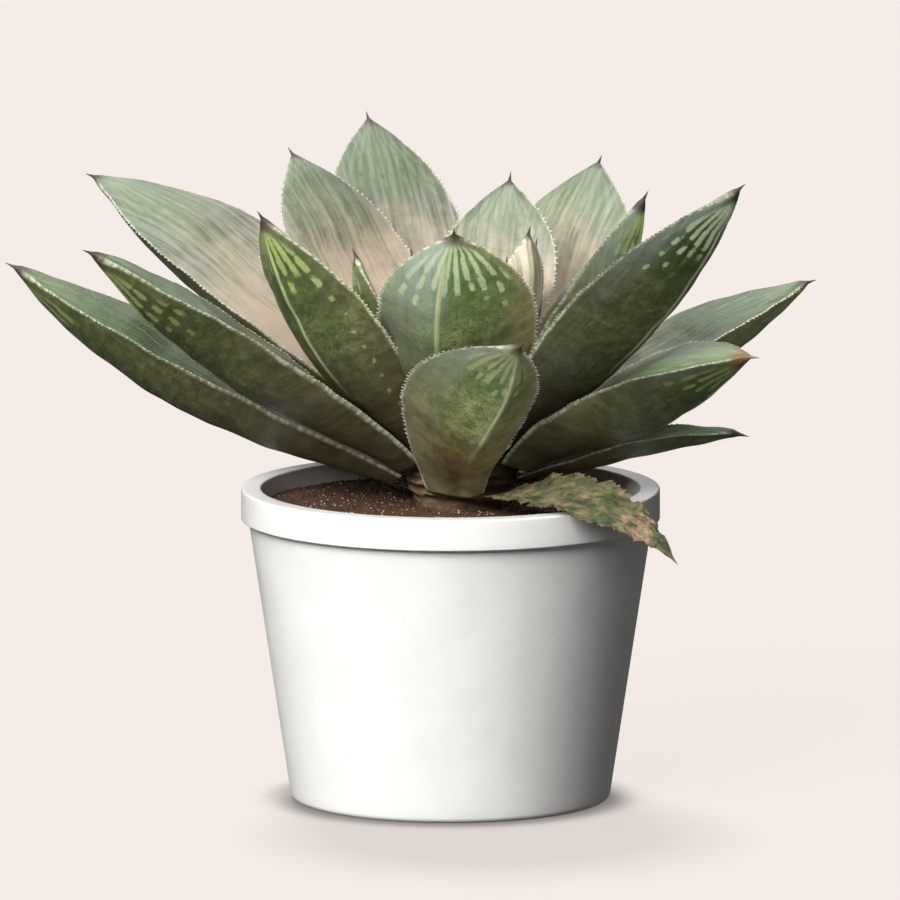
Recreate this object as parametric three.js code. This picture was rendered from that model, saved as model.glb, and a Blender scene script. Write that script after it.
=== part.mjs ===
// Potted haworthia: a rosette of thick, keeled leaves round a short stem that stands in dark soil,
// in a white tapered pot with a plain lip.
// Millimetres, +Z up. The origin is the centre of the pot's underside, and -Y is the front.
import * as THREE from "three";
import { mergeVertices } from "three/addons/utils/BufferGeometryUtils.js";

// ---- Driving dimensions ---------------------------------------------------------------------------

const CLEARANCE = 0.3; // between pieces that only rest against each other

const POT = {
  height: 60,
  rimRadius: 40,
  wall: 3.8, // at the rim
  lipHeight: 6,
  lipStep: 1.4, // how far the lip stands out from the body
  footRadius: 30.4,
  footRounding: 2,
  footBevel: 0.6, // where the rounding is cut by one corner
  floor: 4,
  edge: 0.5, // rounding of the rim's edges
  sides: 64,
};

const SOIL = { belowRim: 3, relief: 0.5, rings: 6, sides: 36, seed: 7 };

const STEM = {
  x: 2, // the plant stands a little right of the pot's centre
  y: 1,
  rootRadius: 3.5,
  rootDepth: 16, // below the soil
  rootShoulder: 0.4, // share of that depth over which the root is as thick as the neck
  neckRadius: 8.5,
  neckHeights: [60, 63], // where the swelling neck has corners
  shoulderRadius: 11.5,
  shoulderHeight: 67,
  topRadius: 3,
  topHeight: 84,
  topBevel: 1.5,
  sides: 20,
};

const LEAF = {
  widest: 0.56, // where along the leaf it is widest
  depthPeak: 0.5, // where along the leaf it is thickest
  footDepth: 0.34, // share of the full depth
  footWaist: 1.1, // how long the foot stays narrow
  footThinness: 1.2, // how long the foot stays thin
  tipThickness: 2.1, // how long the outer part stays thick
  tipBluntness: 0.9, // below 1, the thickness ends a little blunt
  hollow: 0.045, // of the upper face, as a share of the width
  hollowEnd: 0.7, // where along the leaf the hollow ends
  swell: 0.04, // of the upper face near the tip, as a share of the width
  swellStart: 0.6, // where along the leaf the swelling starts
  keelOffset: 0.16, // the keel lies a little to one side
  keelSharpness: 0.45, // 0 is a round underside and 1 a flat-sided one
  keelFrom: 0.25, // where along the leaf the round foot starts to turn into a keel
  keelFull: 0.7, // and where it has done so
  footRoundness: 0.8, // below 1, the foot's underside is boxier than a sine
  rollShare: 0.3, // the roll grows from nothing at the foot to its full angle here
  bristle: 2.4,
  bristleRadius: 0.35,
  bristleFoot: 1.2, // how far before the tip the bristle starts
  stations: 13,
  spineSteps: 60,
  toothLength: 0.8,
  toothBase: 1.1,
  toothShare: 0.3, // half a tooth's base is at most this share of the step it stands on
  toothLean: 0.3, // toward the tip
  firstTooth: 2, // the station where the teeth start
  footHug: 0.5, // how much the foot's end follows the round stem
};

// One row for each leaf. Angles are in degrees: azimuth 0 is the right, 90 the back, 270 the front.
// rise is the slope at the foot and tipRise at the tip, and a bend above 1 keeps the turn between them
// for the outer part. sweep turns the tip sideways, and roll turns the upper face about the leaf's own
// length. fullness is how long the outer part stays broad. foot is the width where the leaf leaves the
// stem, and height is that place's height.
const LEAF_COLUMNS = [
  "name", "azimuth", "sweep", "rise", "tipRise", "bend", "length", "width", "fullness", "foot", "depth",
  "roll", "height",
];
const LEAF_ROWS = [
  // the low outer leaves, from the left round the front to the back
  ["leaf_far_left", 172, -1, 30, 23, 1, 84, 27, 2.1, 11, 10.5, 3, 63],
  ["leaf_low_left", 208, -7, 44, 23, 1, 79, 26, 2.1, 11, 10.5, 9, 66.5],
  ["leaf_low_front", 264, 46, 58.5, 23, 1, 51, 24, 2.8, 11, 7.5, 20, 61.2],
  ["leaf_low_right", 331, 2, 51, -2, 1, 57.5, 28, 2.1, 10, 12.5, -8, 66.5],
  ["leaf_lowest_right", 357, 4, 22, -13, 2, 43.5, 16, 2.1, 8, 4.5, 0, 62.5],
  ["leaf_far_right", 19, 2, 39, 13, 1, 66, 25, 2.1, 10, 10.5, -2, 67],
  ["leaf_low_back_right", 70, 4, 18, 22, 1, 56, 26, 2.1, 10.5, 8.0, 0, 63],
  ["leaf_low_back", 121, 2, 15, 26, 1, 61, 26, 2.1, 10.5, 8.0, 0, 62],
  ["leaf_old", 296, 50, 18, -50, 1.6, 51.5, 15.5, 2.1, 5, 2.2, -16, 59.3],
  // the middle leaves
  ["leaf_high_left", 157, -4, 53, 16, 1, 82.5, 33, 2.1, 10, 10.5, 10, 69],
  ["leaf_mid_left", 222, -7, 50, 52, 1, 60.5, 28, 2.1, 10, 8.2, -4, 69.3],
  ["leaf_mid_front", 269, -2, 49, 53, 1, 54, 30, 2.8, 10, 9.0, 0, 73],
  ["leaf_mid_right", 318, 3, 48, 37, 1, 80, 27, 2.1, 10, 8.5, 6, 70],
  // the steep leaves behind them
  ["leaf_back_left", 138, 0, 60, 46, 1, 58, 30, 2.5, 8, 7.0, 0, 73.5],
  ["leaf_back", 105, 4, 41, 46, 1, 73, 25.5, 2.9, 7.5, 6.5, 0, 72],
  ["leaf_back_right", 63, -4, 45, 48, 1, 64.5, 31, 2.4, 9, 7.5, 0, 68.5],
  ["leaf_inner_back_right", 24, 0, 49, 57, 1, 35, 17, 2.1, 6, 5.5, 6, 75],
  ["leaf_inner_right", 340, 0, 53, 60, 1, 52, 20, 2.1, 8, 6.5, 8, 74],
  // the young leaves round the growing point
  ["leaf_young_back", 70, 0, 60, 66, 1, 44, 24, 2.4, 8, 5.5, 0, 76],
  ["leaf_young_left", 190, 0, 60, 68, 1, 31, 16, 2.1, 6, 5.0, 0, 77],
  ["leaf_young_front", 313, 0, 64, 74, 1, 35, 15, 2.1, 5, 5.0, 0, 78],
  ["leaf_young_right", 18, 0, 66, 76, 1, 28, 14, 2.1, 5, 5.0, 0, 79],
  ["leaf_young_back_left", 132, 0, 66, 76, 1, 25, 14, 2.1, 5, 4.5, 0, 79],
  ["leaf_bud_back", 100, 0, 76, 84, 1, 21, 9, 2.1, 4, 3.0, 0, 81.5],
  ["leaf_bud_left", 220, 0, 74, 82, 1, 20, 9, 2.1, 4, 3.0, 0, 81],
  ["leaf_bud_right", 340, 0, 74, 82, 1, 22, 9, 2.1, 4, 3.0, 0, 81.5],
];
const named = (row) => Object.fromEntries(LEAF_COLUMNS.map((column, i) => [column, row[i]]));
const LEAVES = LEAF_ROWS.map(named);

// ---- Shared maths ---------------------------------------------------------------------------------

const radians = (degrees) => (degrees * Math.PI) / 180;
const mix = (a, b, share) => a + (b - a) * share;

// Repeatable draws between -1 and 1.
function seededDraws(seed) {
  let state = seed;
  return () => {
    state = (Math.imul(state, 1664525) + 1013904223) >>> 0;
    return state / 2147483648 - 1;
  };
}

// A closed geometry from points and triangles.
function solidGeometry(points, triangles) {
  const geometry = new THREE.BufferGeometry();
  geometry.setAttribute("position", new THREE.Float32BufferAttribute(points.flat(), 3));
  geometry.setIndex(triangles.flat());
  geometry.computeVertexNormals();
  return geometry;
}

// A solid of revolution about +Z from [radius, height] points that start and end on the axis,
// run anticlockwise with the outside on their right.
function turned(profile, sides) {
  const lathe = new THREE.LatheGeometry(profile.map(([r, z]) => new THREE.Vector2(r, z)), sides);
  lathe.rotateX(Math.PI / 2);
  lathe.deleteAttribute("normal");
  lathe.deleteAttribute("uv");
  const merged = mergeVertices(lathe, 1e-4);
  merged.computeVertexNormals();
  return merged;
}

// ---- Pot ------------------------------------------------------------------------------------------

const bodyTopRadius = POT.rimRadius - POT.lipStep;
const lipBottom = POT.height - POT.lipHeight;
const boreRadius = POT.rimRadius - POT.wall;
const boreFootRadius = POT.footRadius - POT.wall;
const soilTop = POT.height - SOIL.belowRim;

// The inside of the pot at a height.
const boreAt = (z) => mix(boreFootRadius, boreRadius, (z - POT.floor) / (POT.height - POT.floor));

function potGeometry() {
  const slope = (bodyTopRadius - POT.footRadius) / lipBottom;
  return turned(
    [
      [0, 0],
      [POT.footRadius - POT.footRounding, 0],
      [POT.footRadius - POT.footBevel, POT.footBevel],
      [POT.footRadius + slope * POT.footRounding, POT.footRounding],
      [bodyTopRadius, lipBottom],
      [POT.rimRadius, lipBottom],
      [POT.rimRadius, POT.height - POT.edge],
      [POT.rimRadius - POT.edge, POT.height],
      [boreRadius + POT.edge, POT.height],
      [boreRadius, POT.height - POT.edge],
      [boreFootRadius, POT.floor],
      [0, POT.floor],
    ],
    POT.sides,
  );
}

// ---- Soil -----------------------------------------------------------------------------------------

const stemHole = STEM.neckRadius + CLEARANCE;
const rootBottom = soilTop - STEM.rootDepth;

// The soil fills the pot up to a slightly uneven top and has a plain socket for the stem.
function soilGeometry() {
  const draw = seededDraws(SOIL.seed);
  const outer = boreAt(soilTop) - CLEARANCE;
  const floor = POT.floor + CLEARANCE;
  const rings = [{ radius: boreAt(floor) - CLEARANCE, z: () => floor }];
  for (let i = 0; i <= SOIL.rings; i++) {
    const radius = mix(outer, stemHole, i / SOIL.rings);
    const edge = i === 0 || i === SOIL.rings;
    rings.push({ radius, z: () => soilTop - (edge ? SOIL.relief : SOIL.relief * Math.abs(draw())) });
  }
  rings.push({ radius: stemHole, z: () => rootBottom - CLEARANCE });

  const aroundStem = (radius) => Math.max(0, 1 - (radius - stemHole) / (outer - stemHole));
  const points = [[0, 0, floor]];
  for (const { radius, z } of rings)
    for (let k = 0; k < SOIL.sides; k++) {
      const angle = (2 * Math.PI * k) / SOIL.sides;
      const shift = z === rings[0].z ? 0 : aroundStem(radius);
      const [x, y] = [radius * Math.cos(angle), radius * Math.sin(angle)];
      points.push([STEM.x * shift + x, STEM.y * shift + y, z()]);
    }
  points.push([STEM.x, STEM.y, rootBottom - CLEARANCE]);

  const at = (ring, k) => 1 + ring * SOIL.sides + (k % SOIL.sides);
  const last = points.length - 1;
  const triangles = [];
  for (let k = 0; k < SOIL.sides; k++) {
    triangles.push([0, at(0, k + 1), at(0, k)]);
    for (let i = 0; i + 1 < rings.length; i++)
      fan(triangles, at(i, k), [at(i, k + 1), at(i + 1, k + 1), at(i + 1, k)]);
    triangles.push([last, at(rings.length - 1, k), at(rings.length - 1, k + 1)]);
  }
  return solidGeometry(points, triangles);
}

// ---- Stem -----------------------------------------------------------------------------------------

// The stem's radius above the soil: a neck that swells to the shoulder where the outer leaves sit,
// then a cone that carries the inner leaves.
function stemRadius(z) {
  if (z < STEM.shoulderHeight) {
    const share = Math.max(0, (z - soilTop) / (STEM.shoulderHeight - soilTop));
    return mix(STEM.neckRadius, STEM.shoulderRadius, Math.sin((share * Math.PI) / 2));
  }
  const share = (z - STEM.shoulderHeight) / (STEM.topHeight - STEM.shoulderHeight);
  return mix(STEM.shoulderRadius, STEM.topRadius, share);
}

function stemGeometry() {
  const profile = [
    [0, rootBottom],
    [STEM.rootRadius, rootBottom],
    [STEM.neckRadius, soilTop - STEM.rootShoulder * STEM.rootDepth],
  ];
  const corners = [soilTop, ...STEM.neckHeights, STEM.shoulderHeight, STEM.topHeight - STEM.topBevel];
  for (const z of corners) profile.push([stemRadius(z), z]);
  profile.push([0, STEM.topHeight]);
  const geometry = turned(profile, STEM.sides);
  geometry.translate(STEM.x, STEM.y, 0);
  return geometry;
}

// ---- Leaves ---------------------------------------------------------------------------------------

// Half the width at a share of the length: a waisted foot, widest past the middle, a pointed end.
function halfWidth(leaf, share) {
  if (share < LEAF.widest) {
    const part = Math.sin((share / LEAF.widest) * (Math.PI / 2)) ** LEAF.footWaist;
    return mix(leaf.foot, leaf.width, part) / 2;
  }
  const end = (share - LEAF.widest) / (1 - LEAF.widest);
  return (leaf.width / 2) * (1 - end ** leaf.fullness);
}

// How deep the underside bellies out at its keel.
function bellyDepth(leaf, share) {
  if (share < LEAF.depthPeak) {
    const part = Math.sin((share / LEAF.depthPeak) * (Math.PI / 2)) ** LEAF.footThinness;
    return leaf.depth * mix(LEAF.footDepth, 1, part);
  }
  const end = (share - LEAF.depthPeak) / (1 - LEAF.depthPeak);
  return leaf.depth * (1 - end ** LEAF.tipThickness) ** LEAF.tipBluntness;
}

// The upper face is slightly hollow lower down and swells near the tip, where the windows are.
function faceSwell(leaf, share) {
  const hollow = Math.sin(Math.PI * Math.min(share / LEAF.hollowEnd, 1));
  const outer = Math.max(0, (share - LEAF.swellStart) / (1 - LEAF.swellStart));
  return leaf.width * (LEAF.swell * Math.sin(Math.PI * outer) - LEAF.hollow * hollow);
}

// The underside's shape across, 0 at a margin and 1 at the keel: round at the foot, keeled at the tip.
function bellyShape(across, share) {
  const keel = LEAF.keelOffset;
  const part = across < keel ? (across + 1) / (keel + 1) : (1 - across) / (1 - keel);
  const arch = Math.sin((part * Math.PI) / 2);
  const keeled = THREE.MathUtils.smoothstep(share, LEAF.keelFrom, LEAF.keelFull);
  return mix(arch ** LEAF.footRoundness, mix(arch, part, LEAF.keelSharpness), keeled);
}

// The leaf's frame at each of several shares of its length: point, length direction, side and up.
function leafFrames(leaf, shares) {
  const reach = stemRadius(leaf.height) + CLEARANCE;
  const start = radians(leaf.azimuth);
  const point = new THREE.Vector3(reach * Math.cos(start), reach * Math.sin(start), leaf.height);
  point.add(new THREE.Vector3(STEM.x, STEM.y, 0));
  const slopes = (share) => {
    const azimuth = radians(leaf.azimuth + leaf.sweep * share);
    const rise = radians(mix(leaf.rise, leaf.tipRise, share ** leaf.bend));
    const outward = new THREE.Vector3(Math.cos(azimuth), Math.sin(azimuth), 0);
    const upward = new THREE.Vector3(0, 0, 1);
    return {
      along: outward.clone().multiplyScalar(Math.cos(rise)).addScaledVector(upward, Math.sin(rise)),
      flatSide: new THREE.Vector3(-Math.sin(azimuth), Math.cos(azimuth), 0),
      flatUp: upward.clone().multiplyScalar(Math.cos(rise)).addScaledVector(outward, -Math.sin(rise)),
    };
  };
  const step = 1 / LEAF.spineSteps;
  const spine = [point.clone()];
  for (let i = 0; i < LEAF.spineSteps; i++) {
    point.addScaledVector(slopes((i + 0.5) * step).along, leaf.length * step);
    spine.push(point.clone());
  }
  return shares.map((share) => {
    const place = share * LEAF.spineSteps;
    const index = Math.min(Math.floor(place), LEAF.spineSteps - 1);
    const roll = radians(leaf.roll) * Math.min(share / LEAF.rollShare, 1);
    const { along, flatSide, flatUp } = slopes(share);
    return {
      point: spine[index].clone().lerp(spine[index + 1], place - index),
      along,
      side: flatSide.clone().multiplyScalar(Math.cos(roll)).addScaledVector(flatUp, -Math.sin(roll)),
      up: flatUp.clone().multiplyScalar(Math.cos(roll)).addScaledVector(flatSide, Math.sin(roll)),
    };
  });
}

// The points of a ring, as shares of the half-width: left margin, upper face, right margin, underside.
const UPPER_STEPS = [-0.8, 0, 0.8];
const LOWER_STEPS = [0.84, 0.52, LEAF.keelOffset, -0.36, -0.78];
const RING = UPPER_STEPS.length + LOWER_STEPS.length + 2;
const LEFT_MARGIN = 0;
const RIGHT_MARGIN = UPPER_STEPS.length + 1;
const FACE_MIDDLE = 2;

function leafGeometry(leaf) {
  const lastShare = 1 - LEAF.bristleFoot / leaf.length;
  const shares = [];
  for (let i = 0; i <= LEAF.stations; i++) shares.push((lastShare * i) / LEAF.stations);
  const frames = leafFrames(leaf, [...shares, 1]);
  const points = [];
  const add = (point) => points.push([point.x, point.y, point.z]) - 1;

  shares.forEach((share, station) => {
    const frame = frames[station];
    const half = Math.max(halfWidth(leaf, share), LEAF.bristleRadius);
    const depth = Math.max(bellyDepth(leaf, share), LEAF.bristleRadius);
    const swell = faceSwell(leaf, share);
    const put = (step, height) => {
      const across = step * half;
      const back = station === 0 ? LEAF.footHug * stemSetback(leaf, across) : 0;
      const point = frame.point.clone().addScaledVector(frame.side, across);
      add(point.addScaledVector(frame.up, height).addScaledVector(frame.along, -back));
    };
    put(-1, 0);
    for (const step of UPPER_STEPS) put(step, swell * (1 - step * step));
    put(1, 0);
    for (const step of LOWER_STEPS) put(step, -depth * bellyShape(step, share));
  });
  const at = (station, k) => station * RING + (k % RING);

  // A tooth stands on a margin halfway between two stations. It splits the two faces that meet there.
  const tooth = (station, margin) => {
    if (station < LEAF.firstTooth) return [];
    const a = new THREE.Vector3(...points[at(station, margin)]);
    const b = new THREE.Vector3(...points[at(station + 1, margin)]);
    const { side, along } = frames[station];
    const half = Math.min(LEAF.toothBase / 2 / a.distanceTo(b), LEAF.toothShare);
    const outward = margin === LEFT_MARGIN ? -LEAF.toothLength : LEAF.toothLength;
    const point = a.clone().lerp(b, 0.5).addScaledVector(side, outward);
    point.addScaledVector(along, LEAF.toothLean * LEAF.toothLength);
    return [add(a.clone().lerp(b, 0.5 - half)), add(point), add(a.clone().lerp(b, 0.5 + half))];
  };

  const triangles = [];
  for (let i = 0; i < LEAF.stations; i++) {
    const left = tooth(i, LEFT_MARGIN);
    const right = tooth(i, RIGHT_MARGIN);
    for (let k = 0; k < RING; k++) {
      const [a, b, c, d] = [at(i, k), at(i, k + 1), at(i + 1, k + 1), at(i + 1, k)];
      if (k === LEFT_MARGIN) fan(triangles, b, [a, ...left, d, c]);
      else if (k === RIGHT_MARGIN) fan(triangles, b, [a, ...right, d, c]);
      else if (k === RIGHT_MARGIN - 1) fan(triangles, a, [d, c, ...right.toReversed(), b]);
      else if (k === RING - 1) fan(triangles, a, [d, c, ...left.toReversed(), b]);
      else fan(triangles, a, [d, c, b]);
    }
  }

  const tip = frames[frames.length - 1];
  const apex = add(tip.point.clone().addScaledVector(tip.along, LEAF.bristle));
  for (let k = 0; k < RING; k++) triangles.push([at(LEAF.stations, k + 1), at(LEAF.stations, k), apex]);
  for (let k = 1; k + 1 < RING; k++)
    triangles.push([at(0, FACE_MIDDLE), at(0, FACE_MIDDLE + k), at(0, FACE_MIDDLE + k + 1)]);
  return solidGeometry(points, triangles);
}

// How far the stem's round surface falls back from its nearest point, at a distance to one side.
function stemSetback(leaf, across) {
  const reach = stemRadius(leaf.height) + CLEARANCE;
  return reach - Math.sqrt(reach ** 2 - across ** 2);
}

// Triangles from one corner to each edge of the chain.
function fan(triangles, corner, chain) {
  for (let i = 0; i + 1 < chain.length; i++) triangles.push([corner, chain[i], chain[i + 1]]);
}

// ---- Assembly -------------------------------------------------------------------------------------

const finish = (color, roughness) => new THREE.MeshStandardMaterial({ color, roughness });
const GLAZE = finish(0xf2f2f0, 0.35);
const EARTH = finish(0x3a291c, 0.95);
const HUSK = finish(0x8d7450, 0.8);
const FLESH = finish(0x6f8a5e, 0.5);

function piece(name, geometry, material) {
  const mesh = new THREE.Mesh(geometry, material);
  mesh.name = name;
  return mesh;
}

const plant = new THREE.Group();
plant.add(piece("pot", potGeometry(), GLAZE));
plant.add(piece("soil", soilGeometry(), EARTH));
plant.add(piece("stem", stemGeometry(), HUSK));
for (const leaf of LEAVES) plant.add(piece(leaf.name, leafGeometry(leaf), FLESH));

export default plant;
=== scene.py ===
import math
from types import SimpleNamespace

import bpy
import numpy as np
from bpy.props import FloatProperty, FloatVectorProperty, IntProperty, PointerProperty
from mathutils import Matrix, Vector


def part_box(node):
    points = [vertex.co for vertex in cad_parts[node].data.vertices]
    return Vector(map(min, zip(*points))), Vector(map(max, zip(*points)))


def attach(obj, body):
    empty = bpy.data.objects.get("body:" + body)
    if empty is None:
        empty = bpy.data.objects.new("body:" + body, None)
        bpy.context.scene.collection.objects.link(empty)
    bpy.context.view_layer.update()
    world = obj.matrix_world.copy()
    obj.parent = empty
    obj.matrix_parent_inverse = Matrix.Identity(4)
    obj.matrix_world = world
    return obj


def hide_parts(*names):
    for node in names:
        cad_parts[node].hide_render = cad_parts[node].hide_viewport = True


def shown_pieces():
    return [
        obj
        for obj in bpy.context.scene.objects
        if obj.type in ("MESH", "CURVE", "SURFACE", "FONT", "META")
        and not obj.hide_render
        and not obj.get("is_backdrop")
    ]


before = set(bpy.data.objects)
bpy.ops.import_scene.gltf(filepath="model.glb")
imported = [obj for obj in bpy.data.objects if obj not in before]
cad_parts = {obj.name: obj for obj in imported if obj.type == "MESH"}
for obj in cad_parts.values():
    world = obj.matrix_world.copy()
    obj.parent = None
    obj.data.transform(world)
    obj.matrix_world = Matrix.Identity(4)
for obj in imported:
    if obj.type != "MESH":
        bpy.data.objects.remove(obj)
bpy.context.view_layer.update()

bl_info = {
    "name": "Potted haworthia",
    "version": (1, 0, 0),
    "blender": (4, 5, 0),
    "location": "3D View > Sidebar > Plant",
    "description": "Builds a rosette succulent with toothed, window-tipped leaves in a white pot",
    "category": "Object",
}

MM = 0.001
FILLET_STEPS = 6


# ---- Settings ----


def length_setting(name, description, millimetres):
    """A length that a user may change, kept in metres."""
    return FloatProperty(
        name=name, description=description, default=millimetres * MM, min=0.0, unit="LENGTH",
        precision=5,
    )


def colour_setting(name, description, colour):
    """A colour that a user may change, in linear red, green and blue."""
    return FloatVectorProperty(
        name=name, description=description, default=colour, subtype="COLOR", size=3, min=0.0, max=1.0,
    )


POT_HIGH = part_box("pot")[1]


class HaworthiaPotSettings(bpy.types.PropertyGroup):
    rim_radius: length_setting("Rim radius", "Outer radius of the lip", POT_HIGH.x / MM)
    height: length_setting("Height", "From the underside to the rim", POT_HIGH.z / MM)
    wall: length_setting("Wall", "Thickness at the rim", 3.8)
    lip_height: length_setting("Lip height", "Height of the band round the rim", 6.0)
    lip_step: length_setting("Lip step", "How far the band stands out", 1.4)
    foot_radius: length_setting("Foot radius", "Outer radius at the underside", 30.4)
    foot_rounding: length_setting("Foot rounding", "Rounding of the underside's edge", 1.3)
    floor: length_setting("Floor", "Thickness of the floor", 4.0)
    glaze: colour_setting("Glaze", "Colour of the glaze", (0.86, 0.86, 0.845))
    glaze_cloud: colour_setting("Glaze clouds", "Colour of its faint clouds", (0.82, 0.82, 0.8))


class HaworthiaSoilSettings(bpy.types.PropertyGroup):
    below_rim: length_setting("Below rim", "How far the soil lies below the rim", 3.0)
    crumbs: IntProperty(name="Crumbs", description="Number of loose crumbs", default=5200, min=0)
    crumb_size: length_setting("Crumb size", "Radius of a large crumb", 0.42)
    specks: IntProperty(name="Specks", description="Number of light mineral grains", default=1100, min=0)
    speck_size: length_setting("Speck size", "Radius of a large mineral grain", 0.2)
    earth: colour_setting("Earth", "Colour of damp soil", (0.082, 0.039, 0.021))
    dry_earth: colour_setting("Dry earth", "Colour of dry crumbs", (0.125, 0.064, 0.036))
    mineral: colour_setting("Mineral", "Colour of the light grains", (0.9, 0.84, 0.74))


class HaworthiaStemSettings(bpy.types.PropertyGroup):
    x: length_setting("Right", "How far right of the pot's centre the stem stands", 2.0)
    y: length_setting("Back", "How far behind the pot's centre the stem stands", 1.0)
    husk: colour_setting("Husk", "Colour of the stem's dry skin", (0.24, 0.17, 0.1))
    scar: colour_setting("Scar", "Colour of the old leaves' scars", (0.1, 0.062, 0.036))


class HaworthiaLeafSettings(bpy.types.PropertyGroup):
    tooth_length: length_setting("Tooth length", "Length of a long marginal tooth", 0.6)
    tooth_spacing: length_setting("Tooth spacing", "Mean distance between teeth", 0.95)
    face: colour_setting("Upper face", "Waxy upper face", (0.212, 0.238, 0.186))
    face_line: colour_setting("Upper face lines", "Darker lines along it", (0.115, 0.132, 0.096))
    low_face: colour_setting("Low leaves' face", "Greener upper face of low leaves", (0.13, 0.185, 0.09))
    low_line: colour_setting("Low leaves' lines", "Darker lines along it", (0.042, 0.078, 0.026))
    underside: colour_setting("Underside", "Shaded, olive underside", (0.058, 0.076, 0.024))
    underside_fleck: colour_setting("Underside flecks", "Lighter flecks on it", (0.14, 0.162, 0.068))
    # This wax colour also carries a painted sheen on the undersides' lit left side.
    bloom: colour_setting("Bloom", "Bluish grey wax on an underside", (0.235, 0.285, 0.245))
    blush: colour_setting("Blush", "Pinkish leaf base", (0.5, 0.388, 0.298))
    russet: colour_setting("Russet", "Reddish brown tint under the base", (0.17, 0.112, 0.05))
    tan: colour_setting("Tan", "Olive brown near an underside's margins", (0.182, 0.156, 0.078))
    window: colour_setting("Windows", "Pale, clear windows near the tip", (0.46, 0.535, 0.34))
    vein: colour_setting("Veins", "Deep green between the windows", (0.048, 0.08, 0.022))
    margin: colour_setting("Margin", "Pale edge and teeth", (0.3, 0.32, 0.19))
    bristle: colour_setting("Bristle", "Dry tip", (0.052, 0.04, 0.028))


class HaworthiaStudioSettings(bpy.types.PropertyGroup):
    floor: colour_setting("Floor", "Colour of the floor and the backdrop", (0.913, 0.838, 0.799))
    distance: length_setting("Camera distance", "From the look-at point", 4774.0)
    elevation: FloatProperty(
        name="Elevation", description="How far the camera looks down", default=math.radians(9.0),
        subtype="ANGLE",
    )


# ---- Shared maths, in millimetres ----


def mix(a, b, share):
    return a + (b - a) * share


def smoothstep(low, high, value):
    part = np.clip((value - low) / (high - low), 0.0, 1.0)
    return part * part * (3.0 - 2.0 * part)


def filleted(corners):
    """A profile of [radius, height] points from (radius, height, fillet) corners."""
    profile = []
    last = len(corners) - 1
    for i, (r, z, fillet) in enumerate(corners):
        if fillet == 0 or i in (0, last):
            profile.append((r, z))
            continue
        corner = np.array((r, z))
        before = np.array(corners[i - 1][:2]) - corner
        after = np.array(corners[i + 1][:2]) - corner
        before /= np.linalg.norm(before)
        after /= np.linalg.norm(after)
        half = math.acos(float(np.clip(before @ after, -1, 1))) / 2
        reach = fillet / math.tan(half)
        centre = corner + (before + after) / np.linalg.norm(before + after) * fillet / math.sin(half)
        start, end = corner + before * reach - centre, corner + after * reach - centre
        turn = math.acos(float(np.clip(start @ end / fillet**2, -1, 1)))
        for k in range(FILLET_STEPS + 1):
            t = k / FILLET_STEPS
            arm = (math.sin((1 - t) * turn) * start + math.sin(t * turn) * end) / math.sin(turn)
            profile.append(tuple(centre + arm))
    return profile


def subdivided(profile, longest):
    """The same profile with extra points, so that no step is longer than longest."""
    dense = [profile[0]]
    for a, b in zip(profile, profile[1:]):
        count = max(1, math.ceil(math.dist(a, b) / longest))
        dense += [tuple(mix(np.array(a), np.array(b), k / count)) for k in range(1, count + 1)]
    return dense


def turned(profile, sides):
    """Points and faces of a solid turned about +Z, whose profile starts and ends on the axis."""
    rings = np.array(profile[1:-1])
    angles = 2 * math.pi * np.arange(sides) / sides
    points = np.stack(
        [
            rings[:, :1] * np.cos(angles),
            rings[:, :1] * np.sin(angles),
            np.repeat(rings[:, 1:], sides, axis=1),
        ],
        axis=-1,
    ).reshape(-1, 3)
    first, last = len(points), len(points) + 1
    points = np.vstack([points, [(0, 0, profile[0][1]), (0, 0, profile[-1][1])]])
    return points, tube_faces(len(rings), sides, first, last)


def tube_faces(rings, around, start, end):
    """Quads between closed rings of points, and fans to the points numbered start and end."""
    ring, place = np.meshgrid(np.arange(rings - 1), np.arange(around), indexing="ij")
    after = (place + 1) % around
    quads = np.stack(
        [ring * around + place, ring * around + after, (ring + 1) * around + after,
         (ring + 1) * around + place],
        axis=-1,
    )
    faces = [tuple(quad) for quad in quads.reshape(-1, 4).tolist()]
    top = (rings - 1) * around
    for k in range(around):
        after = (k + 1) % around
        faces.append((start, after, k))
        faces.append((end, top + k, top + after))
    return faces


def placed(name, data):
    """A new object in the scene."""
    made = bpy.data.objects.new(name, data)
    bpy.context.scene.collection.objects.link(made)
    return made


def mesh_object(name, points, faces, material):
    """A smooth mesh object from points in metres."""
    mesh = bpy.data.meshes.new(name)
    mesh.from_pydata(points.tolist(), [], faces)
    mesh.shade_smooth()
    mesh.materials.append(material)
    return placed(name, mesh)


def make_piece(name, points, faces, material, replaced, values=None):
    """A mesh object from points in millimetres that stands for a CAD node."""
    piece = mesh_object(name, points * MM, faces, material)
    for attribute, numbers in (values or {}).items():
        layer = piece.data.attributes.new(attribute, "FLOAT", "POINT")
        layer.data.foreach_set("value", np.asarray(numbers, np.float32))
    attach(piece, "root")
    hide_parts(replaced)


# ---- Material nodes ----


class Output:
    """A node's output, a number or a colour at each point of a surface, to calculate with."""

    def __init__(self, tree, socket):
        self.tree = tree
        self.socket = socket

    def __add__(self, other):
        return calculated("ADD", self, other)

    def __sub__(self, other):
        return calculated("SUBTRACT", self, other)

    def __rsub__(self, other):
        return calculated("SUBTRACT", other, self)

    def __mul__(self, other):
        return calculated("MULTIPLY", self, other)

    def __pow__(self, other):
        return calculated("POWER", self, other)

    def __abs__(self):
        return calculated("ABSOLUTE", self)

    def __floor__(self):
        return calculated("FLOOR", self)


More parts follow.
